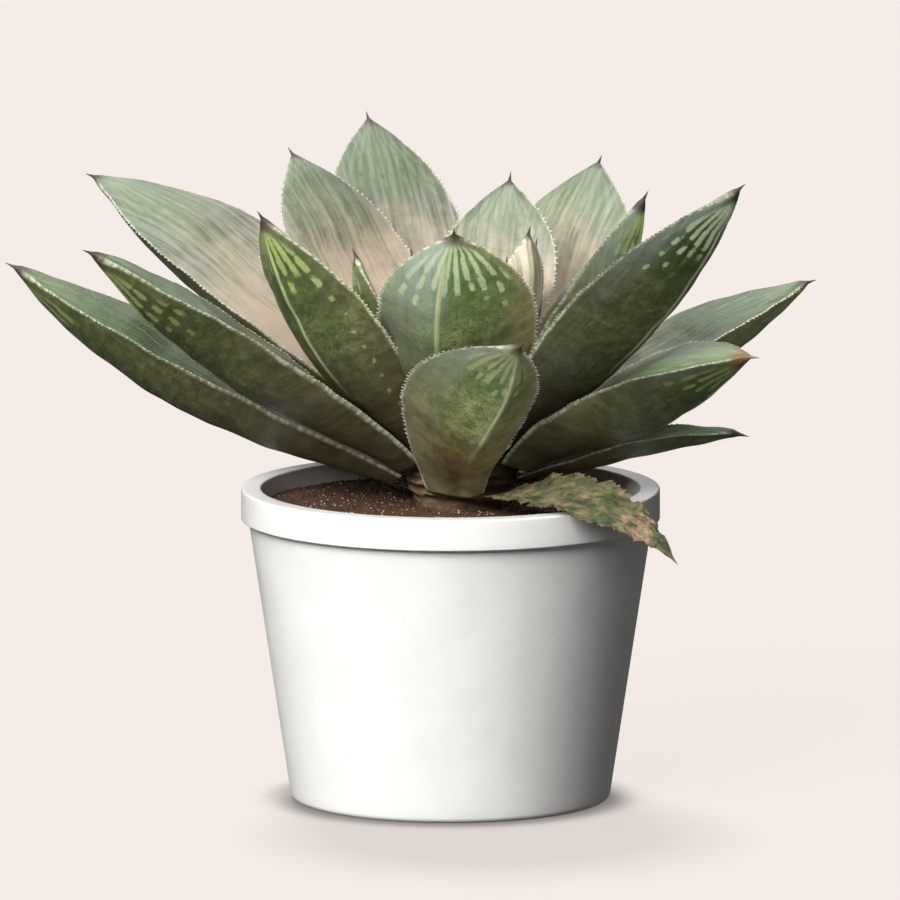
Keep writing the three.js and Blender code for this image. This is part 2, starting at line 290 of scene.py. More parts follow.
def add_node(kind, inputs, output=0, tree=None, **settings):
    """An output of a new node, whose inputs are plain values or other nodes' outputs."""
    if tree is None:
        tree = next(value.tree for value in inputs.values() if isinstance(value, Output))
    made = tree.nodes.new("ShaderNode" + kind)
    for setting, value in settings.items():
        setattr(made, setting, value)
    for socket, value in inputs.items():
        if isinstance(value, Output):
            tree.links.new(value.socket, made.inputs[socket])
        else:
            made.inputs[socket].default_value = value
    return Output(tree, made.outputs[output])


def calculated(operation, a, b=0.0, clamp=False):
    return add_node("Math", {0: a, 1: b}, operation=operation, use_clamp=clamp)


def fraction(value):
    return calculated("FRACT", value)


def capped_sum(a, b):
    """Their sum, but never below 0 or above 1."""
    return calculated("ADD", a, b, clamp=True)


def slope(value, low, high, start=0.0, end=1.0, interpolation="LINEAR"):
    """A straight change from start where value is low to end where it is high, held beyond them."""
    inputs = {"Value": value, "From Min": low, "From Max": high, "To Min": start, "To Max": end}
    return add_node("MapRange", inputs, "Result", interpolation_type=interpolation)


def ramp(value, low, high, start=0.0, end=1.0):
    """The same change with a soft start and end."""
    return slope(value, low, high, start, end, "SMOOTHSTEP")


def vector(x, y, z):
    return add_node("CombineXYZ", {"X": x, "Y": y, "Z": z})


def noise(place, scale, detail=2.0, roughness=0.5):
    inputs = {"Vector": place, "Scale": scale, "Detail": detail, "Roughness": roughness}
    return add_node("TexNoise", inputs, "Fac")


def random_of(number):
    """A repeatable random share for each whole number."""
    return add_node("TexWhiteNoise", {"W": number}, "Value", noise_dimensions="1D")


def blend(share, a, b, kind="MIX"):
    """Colour a where share is 0 and b where it is 1."""
    a, b = (colour if isinstance(colour, Output) else (*colour, 1.0) for colour in (a, b))
    inputs = {"Factor": share, 6: a, 7: b}
    return add_node("Mix", inputs, 2, data_type="RGBA", blend_type=kind, clamp_factor=True)


def layered(colour, *layers):
    """The colour with others laid over it in turn, each given as its share and itself."""
    for share, over in layers:
        colour = blend(share, colour, over)
    return colour


def dimmed(colour, brightness):
    grey = add_node("CombineColor", dict.fromkeys(("Red", "Green", "Blue"), brightness))
    return blend(1.0, colour, grey, "MULTIPLY")


def bumped(*layers):
    """Bumps over each other. Each is a height from 0 to 1 and what 1 stands for, in millimetres."""
    below = {}
    for height, distance in layers:
        inputs = {"Height": height, "Distance": distance * MM, "Strength": 1.0, **below}
        below = {"Normal": add_node("Bump", inputs, "Normal")}
    return below["Normal"]


def new_material(name):
    """A material with an empty node tree."""
    material = bpy.data.materials.new(name)
    material.use_nodes = True
    material.node_tree.nodes.clear()
    return material, material.node_tree


def object_place(tree):
    return add_node("TexCoord", {}, "Object", tree)


def attribute(tree, name):
    return add_node("Attribute", {}, "Fac", tree, attribute_name=name)


def set_surface(shader):
    """Make the shader what its material shows."""
    shown = shader.tree.nodes.new("ShaderNodeOutputMaterial")
    shader.tree.links.new(shader.socket, shown.inputs["Surface"])


def finish_material(colour, roughness, normal, fixed):
    """The surface shader. fixed values are the same all over and are set on its own sockets."""
    inputs = {"Base Color": colour, "Roughness": roughness, "Normal": normal, **fixed}
    set_surface(add_node("BsdfPrincipled", inputs))


# ---- Pot ----

POT_SIDES = 256
PROFILE_STEP = 1.5
UNDER_LIP_ROUNDING = 0.2
LIP_EDGE_ROUNDING = 0.3
RIM_ROUNDING = 0.4
INNER_ROUNDING = 3.0
PINHOLE = (0.55, 0.54, 0.5)


def glaze_material(settings):
    """Satin white glaze with faint clouds and a slightly rippled surface."""
    material, tree = new_material("satin_white_glaze")
    place = object_place(tree)
    clouds = noise(place, 90.0, 4.0, 0.55)
    fine = noise(place, 900.0)
    pits = add_node("TexVoronoi", {"Vector": place, "Scale": 420.0}, "Distance")
    pinholes = ramp(pits, 0.05, 0.11, 1.0, 0.0)
    colour = blend(ramp(clouds, 0.36, 0.66), settings.glaze_cloud, settings.glaze)
    colour = blend(pinholes * 0.1, colour, PINHOLE)
    roughness = slope(clouds, 0.3, 0.7, 0.3, 0.42)
    normal = bumped((clouds, 0.12), (fine, 0.012), (pinholes, -0.01))
    finish_material(colour, roughness, normal, {"Coat Weight": 0.25, "Coat Roughness": 0.18})
    return material


def bore_radius(settings, z):
    """The inside of the pot at a height, in millimetres."""
    wall, floor, height = settings.wall / MM, settings.floor / MM, settings.height / MM
    low, high = settings.foot_radius / MM - wall, settings.rim_radius / MM - wall
    return mix(low, high, (z - floor) / (height - floor))


class HAWORTHIA_OT_pot(bpy.types.Operator):
    """Turn the tapered pot with its lip band"""

    bl_idname = "haworthia.pot"
    bl_label = "Pot"

    def execute(self, context):
        settings = context.scene.haworthia_pot
        height, floor = settings.height / MM, settings.floor / MM
        rim, foot, wall = settings.rim_radius / MM, settings.foot_radius / MM, settings.wall / MM
        lip_bottom = height - settings.lip_height / MM
        body_top = rim - settings.lip_step / MM
        corners = [
            (0, 0, 0),
            (foot, 0, settings.foot_rounding / MM),
            (body_top, lip_bottom, UNDER_LIP_ROUNDING),
            (rim, lip_bottom, LIP_EDGE_ROUNDING),
            (rim, height, RIM_ROUNDING),
            (rim - wall, height, RIM_ROUNDING),
            (bore_radius(settings, floor), floor, INNER_ROUNDING),
            (0, floor, 0),
        ]
        points, faces = turned(subdivided(filleted(corners), PROFILE_STEP), POT_SIDES)
        make_piece("pot_glazed", points, faces, glaze_material(settings), "pot")
        return {"FINISHED"}


# ---- Soil ----

SOIL_SEED = 11
SOIL_SIDES = 220
SOIL_RINGS = 44
SOIL_RELIEF = 0.35  # height of the ground's rises, in millimetres
WALL_GAP = 0.12  # between the soil's rim and the pot
FLOOR_GAP = 0.3  # between the soil's underside and the pot
BARE_EDGE = 0.8  # width of the ring along the pot that no crumb's centre lies in
STEM_CLEARING = 8.0  # radius round the middle that crumbs stay out of
SPECK_LIFT = 0.18
DULL_MINERAL = (0.35, 0.27, 0.2)


def soil_material(settings):
    """Damp dark soil. The crumb attribute tells ground, crumbs and mineral grains apart."""
    material, tree = new_material("potting_soil")
    place = object_place(tree)
    kind = attribute(tree, "crumb")
    coarse = noise(place, 260.0, 5.0, 0.65)
    fine = noise(place, 1900.0, 4.0, 0.7)
    dryness = ramp(coarse, 0.4, 0.7) * ramp(fine, 0.3, 0.65)
    dry = capped_sum(dryness * 0.7, slope(kind, 0.0, 1.0) * 0.45)
    colour = blend(dry, settings.earth, settings.dry_earth)
    mineral = blend(fine, DULL_MINERAL, settings.mineral)
    colour = blend(ramp(kind, 1.5, 1.6), colour, mineral)
    roughness = slope(fine, 0.3, 0.7, 0.75, 0.98)
    normal = bumped((coarse, 0.35), (fine, 0.12))
    finish_material(colour, roughness, normal, {"Specular IOR Level": 0.25})
    return material


ICOSAHEDRON_FACES = [
    (0, 11, 5), (0, 5, 1), (0, 1, 7), (0, 7, 10), (0, 10, 11), (1, 5, 9), (5, 11, 4), (11, 10, 2),
    (10, 7, 6), (7, 1, 8), (3, 9, 4), (3, 4, 2), (3, 2, 6), (3, 6, 8), (3, 8, 9), (4, 9, 5), (2, 4, 11),
    (6, 2, 10), (8, 6, 7), (9, 8, 1),
]
GOLDEN = (1 + math.sqrt(5)) / 2
ICOSAHEDRON_POINTS = np.array([
    (-1, GOLDEN, 0), (1, GOLDEN, 0), (-1, -GOLDEN, 0), (1, -GOLDEN, 0), (0, -1, GOLDEN), (0, 1, GOLDEN),
    (0, -1, -GOLDEN), (0, 1, -GOLDEN), (GOLDEN, 0, -1), (GOLDEN, 0, 1), (-GOLDEN, 0, -1), (-GOLDEN, 0, 1),
]) / math.sqrt(1 + GOLDEN**2)


def soil_height(x, y):
    """The ground's gentle rises and hollows, in millimetres, from -1 to 1."""
    return (
        0.45 * np.sin(0.31 * x + 1.1) * np.cos(0.27 * y - 0.4)
        + 0.3 * np.sin(0.71 * x - 0.52 * y + 2.0)
        + 0.25 * np.sin(1.37 * x + 1.13 * y)
    )


def scatter_crumbs(draws, count, size, reach, top, lift):
    """Centres and radii of crumbs that lie on the ground between the stem and the pot."""
    radius = size * (0.25 + 0.75 * draws.random(count) ** 2.2)
    distance = np.sqrt(draws.uniform(STEM_CLEARING**2, reach**2, count))
    angle = draws.uniform(0, 2 * math.pi, count)
    x, y = distance * np.cos(angle), distance * np.sin(angle)
    z = top + SOIL_RELIEF * soil_height(x, y) + radius * draws.uniform(-0.1, 0.5, count) + lift
    return np.stack([x, y, z], axis=-1), radius


class HAWORTHIA_OT_soil(bpy.types.Operator):
    """Fill the pot with crumbly soil and scatter light mineral grains on it"""

    bl_idname = "haworthia.soil"
    bl_label = "Soil"

    def execute(self, context):
        pot, settings = context.scene.haworthia_pot, context.scene.haworthia_soil
        top = (pot.height - settings.below_rim) / MM - SOIL_RELIEF
        floor = pot.floor / MM + FLOOR_GAP
        outer = bore_radius(pot, top) - WALL_GAP
        profile = [(0, floor), (bore_radius(pot, floor) - FLOOR_GAP, floor)]
        profile += [(outer * (1 - k / SOIL_RINGS), top) for k in range(SOIL_RINGS)]
        profile.append((0, top))
        points, faces = turned(profile, SOIL_SIDES)
        ground = points[:, 2] > top - 0.01
        points[ground, 2] += SOIL_RELIEF * soil_height(points[ground, 0], points[ground, 1])
        kinds = [np.zeros(len(points))]
        draws = np.random.default_rng(SOIL_SEED)
        meshes = [points]
        first = len(points)
        corners = len(ICOSAHEDRON_POINTS)
        for count, size, kind, lift in (
            (settings.crumbs, settings.crumb_size / MM, 1.0, 0.0),
            (settings.specks, settings.speck_size / MM, 2.0, SPECK_LIFT),
        ):
            centres, radii = scatter_crumbs(draws, count, size, outer - BARE_EDGE, top, lift)
            for centre, radius in zip(centres, radii):
                lumps = ICOSAHEDRON_POINTS * draws.uniform(0.7, 1.25, (corners, 1))
                squash = np.array((1.0, draws.uniform(0.7, 1.0), draws.uniform(0.55, 0.9)))
                meshes.append(centre + radius * lumps * squash)
                faces += [(a + first, b + first, c + first) for a, b, c in ICOSAHEDRON_FACES]
                tone = kind * draws.uniform(0.2, 1.0) if kind == 1.0 else kind
                kinds.append(np.full(corners, tone))
                first += corners
        make_piece(
            "soil_crumbly", np.vstack(meshes), faces, soil_material(settings), "soil",
            {"crumb": np.concatenate(kinds)},
        )
        return {"FINISHED"}


# ---- Stem ----

STEM_NECK, STEM_SHOULDER, STEM_TOP = 8.5, 11.5, 3.0
SOIL_TOP, SHOULDER_HEIGHT, STEM_HEIGHT = 57.0, 67.0, 84.0
STEM_FOOT_RADIUS, STEM_FOOT_HEIGHT = 3.5, 41.0
STEM_SIDES, STEM_STATIONS = 96, 90
BURIED, CROWN = 6, 0.5  # how far the rings go on below the soil, and end below the stem's top
SCAR_RELIEF, SCAR_RATE = 0.18, 3.6  # the rings of scars, in millimetres and radians per millimetre
FLUTE_RELIEF, FLUTES = 0.012, 7  # how far, as a share of the radius, and how many times round


def stem_radius(z):
    """The stem's radius at a height above the pot's underside, in millimetres."""
    if z < SHOULDER_HEIGHT:
        share = max(0.0, (z - SOIL_TOP) / (SHOULDER_HEIGHT - SOIL_TOP))
        return mix(STEM_NECK, STEM_SHOULDER, math.sin(share * math.pi / 2))
    share = (z - SHOULDER_HEIGHT) / (STEM_HEIGHT - SHOULDER_HEIGHT)
    return mix(STEM_SHOULDER, STEM_TOP, share)


def stem_material(settings):
    """Dry, ringed skin with darker scars where old leaves stood."""
    material, tree = new_material("dry_stem_skin")
    place = object_place(tree)
    bands = {"Vector": place, "Scale": 140.0, "Distortion": 3.0, "Detail": 3.0, "Detail Scale": 2.0}
    wave = add_node("TexWave", bands, "Fac", bands_direction="Z")
    fibres = noise(place, 1100.0, 4.0, 0.65)
    colour = blend(wave * ramp(fibres, 0.3, 0.7), settings.scar, settings.husk)
    roughness = slope(fibres, 0.3, 0.7, 0.7, 0.95)
    normal = bumped((wave, 0.5), (fibres, 0.1))
    finish_material(colour, roughness, normal, {"Specular IOR Level": 0.3})
    return material


class HAWORTHIA_OT_stem(bpy.types.Operator):
    """Turn the short stem with the scars of old leaves"""

    bl_idname = "haworthia.stem"
    bl_label = "Stem"

    def execute(self, context):
        settings = context.scene.haworthia_stem
        heights = np.linspace(SOIL_TOP - BURIED, STEM_HEIGHT - CROWN, STEM_STATIONS)
        profile = [(0, STEM_FOOT_HEIGHT), (STEM_FOOT_RADIUS, STEM_FOOT_HEIGHT)]
        profile += [(stem_radius(z) + SCAR_RELIEF * math.sin(z * SCAR_RATE), z) for z in heights]
        profile.append((0, STEM_HEIGHT))
        points, faces = turned(profile, STEM_SIDES)
        angle = np.arctan2(points[:, 1], points[:, 0])
        points[:, :2] *= (1 + FLUTE_RELIEF * np.sin(FLUTES * angle + points[:, 2]))[:, None]
        points[:, :2] += (settings.x / MM, settings.y / MM)
        make_piece("stem_scarred", points, faces, stem_material(settings), "stem")
        return {"FINISHED"}


# ---- Leaves ----

LEAF_SEED = 100
OLD_LEAF_SEED = 77
WIDEST = 0.56  # where along the leaf it is widest
DEPTH_PEAK = 0.5  # where along the leaf it is thickest
FOOT_DEPTH = 0.34
TIP_THICKNESS = 2.1  # how long the outer part stays thick
HOLLOW_TO, SWELL_FROM = 0.7, 0.6  # where the upper face's hollow ends and its swelling starts
FACE_HOLLOW, FACE_SWELL = 0.045, 0.04  # as shares of the leaf's width
FACE_LINE_HEIGHT = 0.06
SWAY = 0.28  # height of the blade's slow rises and dips
EDGE_WANDER = 0.012  # how far the margins wander, as a share of the half width
TORN_DEPTH = 0.34  # how deep the old leaf's margins are torn, as the same share
ROLL_SHARE = 0.3
BRISTLE = 1.8
BRISTLE_BASE = 1.2  # how far before the blade's end the bristle starts
BRISTLE_RADIUS = 0.6
SPINE_STEPS = 60
CLEARANCE = 0.3
FOOT_HUG = 0.5
HUG_END = 13  # the foot hugs the stem over the first thirteenth of the leaf
APEX_REACH = 0.15  # how far the point of the bristle stands out
FAR_OFF = 99.0  # the distance from the ridge that is given to points that have none

# One row for each leaf, as in the solid model. Angles are in degrees and lengths in millimetres:
# azimuth 0 is the right, 90 the back, 270 the front. keel is where the underside's ridge lies, from
# -1 at the left margin to 1 at the right one. The others belong to the finish: blush is how pink the
# base is, windows how clear the pale windows are, dryness how far the tip has dried, then how far wax,
# with a painted sheen over it, reaches over the underside from the lit left side; face and under are
# how light the two sides are, partly each leaf's own tone and partly painted light and shade.
LOOK_COLUMNS = ("blush", "windows", "dryness", "bloom", "face", "under")
LEAF_COLUMNS = (
    "name", "azimuth", "sweep", "rise", "tip_rise", "bend", "length", "width", "fullness", "foot",
    "depth", "roll", "height", "keel", *LOOK_COLUMNS,
)
LEAF_ROWS = (
    ("far_left", 172, -1, 30, 23, 1, 84, 27, 2.1, 11, 10.5, 3, 63, 0.16, 0.1, 0.5, 0.4, 0, 0.75, 0.9),
    ("low_left", 208, -7, 44, 23, 1, 79, 26, 2.1, 11, 10.5, 9, 66.5, 0.16, 0, 0.6, 0.4, 0.2, 0.5, 0.8),
    ("low_front", 264, 46, 58.5, 23, 1, 51, 24, 2.8, 11, 7.5, 20, 61.2, 0.42, 1, 0.5, 0.1, 0.5, 1, 1.8),
    ("low_right", 331, 2, 51, -2, 1, 57.5, 28, 2.1, 10, 12.5, -8, 66.5, 0.16, 0, 0.8, 0.95, 0.2, 0.9, 1.2),
    ("lowest_right", 357, 4, 22, -13, 2, 43.5, 16, 2.1, 8, 4.5, 0, 62.5, 0.16, 0.3, 0.4, 0.9, 0, 1, 0.9),
    ("far_right", 19, 2, 39, 13, 1, 66, 25, 2.1, 10, 10.5, -2, 67, 0.16, 0.1, 0.6, 0.2, 0, 0.48, 2.1),
    ("low_back_right", 70, 4, 18, 22, 1, 56, 26, 2.1, 10.5, 8, 0, 63, 0.1, 0.3, 0.7, 0.3, 0, 1, 1.5),
    ("low_back", 121, 2, 15, 26, 1, 61, 26, 2.1, 10.5, 8, 0, 62, -0.12, 0.3, 0.7, 0.3, 0, 1, 1.5),
    ("high_left", 157, -4, 53, 16, 1, 82.5, 33, 2.1, 10, 10.5, 10, 69, 0.16, 0.7, 0.5, 0.2, 0, 0.9, 1),
    ("mid_left", 222, -7, 50, 52, 1, 60.5, 28, 2.1, 10, 8.2, -4, 69.3, 0.1, 0.3, 0.75, 0.4, 0.2, 1, 0.9),
    ("mid_front", 269, -2, 49, 53, 1, 54, 30, 2.8, 10, 9, 0, 73, -0.24, 0.3, 1, 0.2, 0.9, 1, 1.85),
    ("mid_right", 318, 3, 48, 37, 1, 80, 27, 2.1, 10, 8.5, 6, 70, 0.16, 0.3, 1, 0.2, 0.35, 1, 0.78),
    ("back_left", 138, 0, 60, 46, 1, 58, 30, 2.5, 8, 7, 0, 73.5, 0.16, 1, 0.4, 0.1, 0, 0.9, 1.5),
    ("back", 105, 4, 41, 46, 1, 73, 25.5, 2.9, 7.5, 6.5, 0, 72, 0.1, 0.8, 0.5, 0.1, 0, 0.75, 1.5),
    ("back_right", 63, -4, 45, 48, 1, 64.5, 31, 2.4, 9, 7.5, 0, 68.5, 0.16, 1, 0.4, 0.1, 0, 0.9, 1.5),
    ("inner_back_right", 24, 0, 49, 57, 1, 35, 17, 2.1, 6, 5.5, 6, 75, 0.16, 0.7, 0.4, 0.1, 0, 1, 1),
    ("inner_right", 340, 0, 53, 60, 1, 52, 20, 2.1, 8, 6.5, 8, 74, 0.16, 0.6, 0.9, 0.8, 0.7, 1, 1.7),
    ("young_back", 70, 0, 60, 66, 1, 44, 24, 2.4, 8, 5.5, 0, 76, 0.16, 0.9, 0.5, 0.1, 0, 0.8, 1),
    ("young_left", 190, 0, 60, 68, 1, 31, 16, 2.1, 6, 5, 0, 77, 0.16, 1, 0.4, 0.1, 0, 1, 1),
    ("young_front", 313, 0, 64, 74, 1, 35, 15, 2.1, 5, 5, 0, 78, 0, 1.2, 0.3, 0.1, 0, 1, 1),
    ("young_right", 18, 0, 66, 76, 1, 28, 14, 2.1, 5, 5, 0, 79, 0.16, 1, 0.4, 0.1, 0, 1, 1),
    ("young_back_left", 132, 0, 66, 76, 1, 25, 14, 2.1, 5, 4.5, 0, 79, 0.16, 1, 0.4, 0.1, 0, 1, 1),
    ("bud_back", 100, 0, 76, 84, 1, 21, 9, 2.1, 4, 3, 0, 81.5, 0, 1.2, 0.2, 0.1, 0, 1, 1),
    ("bud_left", 220, 0, 74, 82, 1, 20, 9, 2.1, 4, 3, 0, 81, 0, 1.2, 0.2, 0.1, 0, 1, 1),
    ("bud_right", 340, 0, 74, 82, 1, 22, 9, 2.1, 4, 3, 0, 81.5, 0, 1.2, 0.2, 0.1, 0, 1, 1),
)
OLD_LEAF_ROW = ("old", 296, 50, 18, -50, 1.6, 51.5, 15.5, 2.1, 5, 2.2, -16, 59.3, 0)

BODY_STATIONS = 128
BRISTLE_STATIONS = 6
FACE_STEPS = 36
HALF_BELLY_STEPS = 18


def leaf_of(row):
    return SimpleNamespace(**dict(zip(LEAF_COLUMNS, row)))


def half_width(leaf, share):
    """Half the width along the leaf: a waisted foot, widest past the middle, a pointed end."""
    low = np.sin(np.clip(share / WIDEST, 0, 1) * math.pi / 2) ** 1.1
    high = np.clip((share - WIDEST) / (1 - WIDEST), 0, 1) ** leaf.fullness
    return np.where(share < WIDEST, mix(leaf.foot, leaf.width, low), leaf.width * (1 - high)) / 2


def belly_depth(leaf, share):
    """How deep the underside bellies out at its keel."""
    low = np.sin(np.clip(share / DEPTH_PEAK, 0, 1) * math.pi / 2) ** 1.2
    high = np.clip((share - DEPTH_PEAK) / (1 - DEPTH_PEAK), 0, 1)
    return leaf.depth * np.where(
        share < DEPTH_PEAK, mix(FOOT_DEPTH, 1, low), (1 - high**TIP_THICKNESS) ** 0.9
    )


def face_swell(leaf, share):
    """The upper face is slightly hollow lower down and swells near the tip, where the windows are."""
    hollow = -FACE_HOLLOW * np.sin(math.pi * np.minimum(share / HOLLOW_TO, 1))
    swell = FACE_SWELL * np.sin(math.pi * (share - SWELL_FROM) / (1 - SWELL_FROM))
    return leaf.width * (hollow + np.where(share > SWELL_FROM, swell, 0))


def belly_shape(leaf, across, share):
    """The underside's shape across, 0 at a margin and 1 at the keel."""
    keel = leaf.keel
    part = np.where(across < keel, (across + 1) / (keel + 1), (1 - across) / (1 - keel))
    part = np.clip(part, 0, 1)
    arch = np.sin(part * math.pi / 2)
    return mix(arch**0.8, 0.45 * part + 0.55 * arch, smoothstep(0.25, 0.7, share))


def leaf_frames(leaf, shares):
    """Points, length directions, sides and ups of the leaf at shares of its length."""
    reach = stem_radius(leaf.height) + CLEARANCE
    start = math.radians(leaf.azimuth)
    stem = bpy.context.scene.haworthia_stem
    foot = np.array((
        stem.x / MM + reach * math.cos(start), stem.y / MM + reach * math.sin(start), leaf.height
    ))

    def slopes(share):
        azimuth = np.radians(leaf.azimuth + leaf.sweep * share)
        rise = np.radians(mix(leaf.rise, leaf.tip_rise, share ** leaf.bend))
        out = np.stack([np.cos(azimuth), np.sin(azimuth), np.zeros_like(azimuth)], axis=-1)
        up = np.array((0.0, 0.0, 1.0))
        cosine, sine = np.cos(rise)[:, None], np.sin(rise)[:, None]
        flat_side = np.stack([-np.sin(azimuth), np.cos(azimuth), np.zeros_like(azimuth)], axis=-1)
        return out * cosine + up * sine, flat_side, up * cosine - out * sine

    middles = (np.arange(SPINE_STEPS) + 0.5) / SPINE_STEPS
    steps = slopes(middles)[0] * leaf.length / SPINE_STEPS
    spine = np.vstack([foot, foot + np.cumsum(steps, axis=0)])
    inside = np.clip(shares, 0, 1)
    place = inside * SPINE_STEPS
    index = np.minimum(np.floor(place).astype(int), SPINE_STEPS - 1)
    along, flat_side, flat_up = slopes(inside)
    point = mix(spine[index], spine[index + 1], (place - index)[:, None])
    point += along * ((shares - inside) * leaf.length)[:, None]
    roll = math.radians(leaf.roll) * np.minimum(inside / ROLL_SHARE, 1)[:, None]
    side = flat_side * np.cos(roll) - flat_up * np.sin(roll)
    up = flat_up * np.cos(roll) + flat_side * np.sin(roll)
    return point, along, side, up


def ease(count):
    """Shares from 0 to 1 that lie closer together near both ends."""
    return (1 - np.cos(math.pi * np.arange(count) / count)) / 2


def ring_places(leaf):
    """Places round a section, from -1 to 1 across, and whether they lie on the upper face."""
    upper = -1 + 2 * ease(FACE_STEPS)
    right = mix(1.0, leaf.keel, ease(HALF_BELLY_STEPS))
    left = mix(leaf.keel, -1.0, ease(HALF_BELLY_STEPS))
    across = np.concatenate([upper, right, left])
    on_face = np.arange(len(across)) < FACE_STEPS
    return across, on_face


def slow_waves(draws, place, count=4, longest=26.0):
    """A smooth random line along place, in millimetres, about -1 to 1."""
    total = np.zeros_like(place)
    for k in range(count):
        phase, weight = draws.uniform(0, 2 * math.pi), draws.uniform(0.5, 1.0)
        total += weight * np.sin(2 * math.pi * place / (longest / (k + 1)) + phase) / (k + 1)
    return total / 1.6


def crumpled(draws, run, across, fade):
    """The old leaf's crumples, in millimetres, and how far its margins are torn, as a share."""
    kinks = slow_waves(draws, run, 6, 14)[:, None]
    crumple = slow_waves(draws, run[:, None] + 6 * across, 5, 11)
    crumple = crumple + slow_waves(draws, run[:, None] - 8 * across, 5, 9)
    torn = [np.maximum(slow_waves(draws, run, 7, 9)[:, None], 0) for _ in ("left", "right")]
    torn = np.where(across < 0, *torn) * smoothstep(0.5, 1.0, np.abs(across))
    return fade * (0.3 * crumple + 0.5 * kinks * across), TORN_DEPTH * torn * fade


def leaf_surface(leaf, draws, wilted=False):
    """The leaf's body: points, faces, values for its material, and what its teeth stand on."""
    last = 1 - BRISTLE_BASE / leaf.length
    body = last * np.linspace(0, 1, BODY_STATIONS) ** 0.92
    needle = 1 + BRISTLE / leaf.length * np.linspace(0, 1, BRISTLE_STATIONS)
    shares = np.concatenate([body, needle])
    needle_part = np.clip((shares - last) / (needle[-1] - last), 0, 1)
    point, along, side, up = leaf_frames(leaf, shares)
    across, on_face = ring_places(leaf)
    run = shares * leaf.length

    thin = BRISTLE_RADIUS * (0.06 + 0.94 * (1 - needle_part) ** 1.2)
    half = np.hypot(np.maximum(half_width(leaf, shares), 0), thin)
    depth = np.hypot(np.maximum(belly_depth(leaf, shares), 0), thin)
    swell = face_swell(leaf, np.minimum(shares, 1))
    tip_round = thin * smoothstep(0.8, 1.0, shares)
    roundness = smoothstep(0.93, 1.0, shares)[:, None]
    grown = smoothstep(0.05, 0.3, shares)[:, None]

    circle = np.sqrt(np.clip(1 - across**2, 0, 1))[None, :]
    under = mix(belly_shape(leaf, across[None, :], shares[:, None]), circle, roundness)
    over = swell[:, None] * (1 - across**2)[None, :] + tip_round[:, None] * circle
    lines = np.sin(across * 9.0 + slow_waves(draws, across * 10, 2, 9.0))[None, :]
    over = over + FACE_LINE_HEIGHT * lines * circle * grown
    height = np.where(on_face, over, -depth[:, None] * under)

    fade = grown * (1 - smoothstep(0.9, 1.0, shares))[:, None]
    height = height + SWAY * slow_waves(draws, run)[:, None] * fade
    edges = [slow_waves(draws, run, 5, 20)[:, None] for _ in ("left", "right")]
    stretch = 1 + EDGE_WANDER * np.where(across < 0, *edges) * fade * np.abs(across)
    if wilted:
        crumples, torn = crumpled(draws, run, across, fade)
        height = height + crumples
        stretch = stretch - torn
    place = across[None, :] * half[:, None] * stretch

    hug = FOOT_HUG * np.clip(1 - shares * HUG_END / last, 0, 1)
    reach = stem_radius(leaf.height) + CLEARANCE
    back = hug[:, None] * (reach - np.sqrt(np.maximum(reach**2 - place**2, 0)))
    points = (
        point[:, None, :]
        + side[:, None, :] * place[..., None]
        + up[:, None, :] * height[..., None]
        - along[:, None, :] * back[..., None]
    )
    margins = points[:, 0], points[:, FACE_STEPS]
    around = len(across)
    from_keel = np.abs(place - leaf.keel * half[:, None])
    values = {
        "along": np.repeat(shares, around),
        "run": np.repeat(run, around),
        "across": np.tile(across, len(shares)),
        "span": place.ravel(),
        "upper": np.tile(on_face.astype(float), len(shares)),
        "half": np.repeat(half, around),
        "edge": ((1 - np.abs(across))[None, :] * half[:, None]).ravel(),
        "ridge": np.where(on_face[None, :], FAR_OFF, from_keel).ravel(),
    }
    points = points.reshape(-1, 3)
    faces = tube_faces(len(shares), around, len(points) + 1, len(points))
    points = np.vstack([points, points[-around:].mean(axis=0) + along[-1] * APEX_REACH, point[0]])
    ends = {"along": (needle[-1], 0), "run": (run[-1], 0), "half": (0, 5), "edge": (0, 5),
            "ridge": (0, FAR_OFF)}
    values = {name: np.append(numbers, ends.get(name, (0, 0))) for name, numbers in values.items()}
    return points, faces, values, (shares, along, side, up, margins)


TOOTH_SIDES = 6
TEETH_FROM, TEETH_TO = 0.13, 0.975  # as shares of the leaf's length
TOOTH_ROOT = 0.2  # how deep a tooth sits in the margin, as a share of its own length
TOOTH_RINGS = ((-TOOTH_ROOT, 1.0), (0.18, 0.85), (0.62, 0.42))  # how far out and how broad
TOOTH_VALUES = {"half": 9.0, "upper": 1.0, "edge": -1.0, "ridge": FAR_OFF}
TOOTH_SPAN = 9.0


